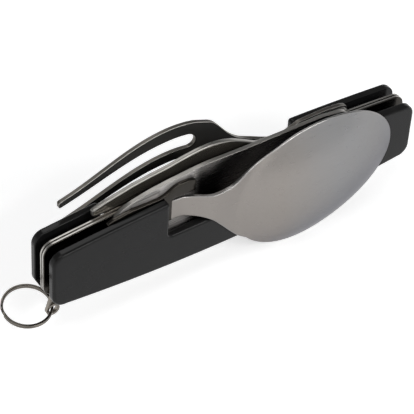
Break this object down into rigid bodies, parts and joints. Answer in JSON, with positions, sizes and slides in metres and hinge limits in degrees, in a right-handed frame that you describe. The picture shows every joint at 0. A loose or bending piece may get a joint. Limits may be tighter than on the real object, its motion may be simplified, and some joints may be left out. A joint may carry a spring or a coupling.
{
  "type": "folding picnic cutlery",
  "caption": "Folding picnic cutlery whose handle slides apart into halves: spoon and knife in one, fork and opener in the other, with a key ring.",
  "frame": {"origin": "middle of the closed handle's length and height, on the face where its two halves meet", "axes": "+X along the handle towards the knife and fork pivots, +Y from the spoon's half to the fork's half, +Z out of the tool slots"},
  "size_m": [0.1198, 0.0236, 0.0396],
  "materials": {
    "black_scale": "satin black coating, worn lighter along the rounded edges",
    "liner_steel": "fine lengthwise brushing",
    "spring_steel": "ground, slightly dark",
    "pin_steel": "turned and ground flush",
    "spoon_steel": "satin brushed, bright rim",
    "polished_steel": "mirror polished with light edges",
    "blade_steel": "satin blade",
    "ring_chrome": "dark nickel plate"
  },
  "bodies": {
    "front_half": {"front_scale": "black_scale", "front_liner": "liner_steel", "front_back_spring": "spring_steel", "front_rivets": "pin_steel", "spoon_pivot_pin": "pin_steel", "spoon_pin_washer": "pin_steel", "knife_pivot_pin": "pin_steel", "knife_pin_washer": "pin_steel", "coupling_studs": "pin_steel", "bail": "liner_steel", "bail_pin": "pin_steel"},
    "spoon": {"spoon": "spoon_steel"},
    "knife": {"knife": "blade_steel"},
    "rear_half": {"rear_scale": "black_scale", "rear_liner": "liner_steel", "rear_back_spring": "spring_steel", "rear_rivets": "pin_steel", "fork_pivot_pin": "pin_steel", "rear_end_pin": "pin_steel", "rear_end_spacer": "pin_steel"},
    "fork": {"fork": "polished_steel"},
    "opener": {"opener": "polished_steel"},
    "ring": {"split_ring": "ring_chrome"}
  },
  "joints": [
    {"name": "spoon_fold", "type": "hinge", "parent": "front_half", "child": "spoon", "pos_m": [-0.047, 0, 0], "axis": [0, -1, 0], "range_deg": [0, 180]},
    {"name": "knife_fold", "type": "hinge", "parent": "front_half", "child": "knife", "pos_m": [0.047, 0, 0], "axis": [0, 1, 0], "range_deg": [0, 180]},
    {"name": "halves_slide", "type": "slide", "parent": "front_half", "child": "rear_half", "axis": [1, 0, 0], "range_m": [0, 0.006]},
    {"name": "fork_fold", "type": "hinge", "parent": "rear_half", "child": "fork", "pos_m": [0.047, 0, 0], "axis": [0, 1, 0], "range_deg": [0, 180]},
    {"name": "opener_fold", "type": "hinge", "parent": "rear_half", "child": "opener", "pos_m": [0.047, 0, 0], "axis": [0, 1, 0], "range_deg": [0, 180]},
    {"name": "ring_swing", "type": "hinge", "parent": "front_half", "child": "ring", "pos_m": [-0.05305, -0.00152, -0.0125], "axis": [0, -1, 0], "range_deg": [0, 90]}
  ]
}
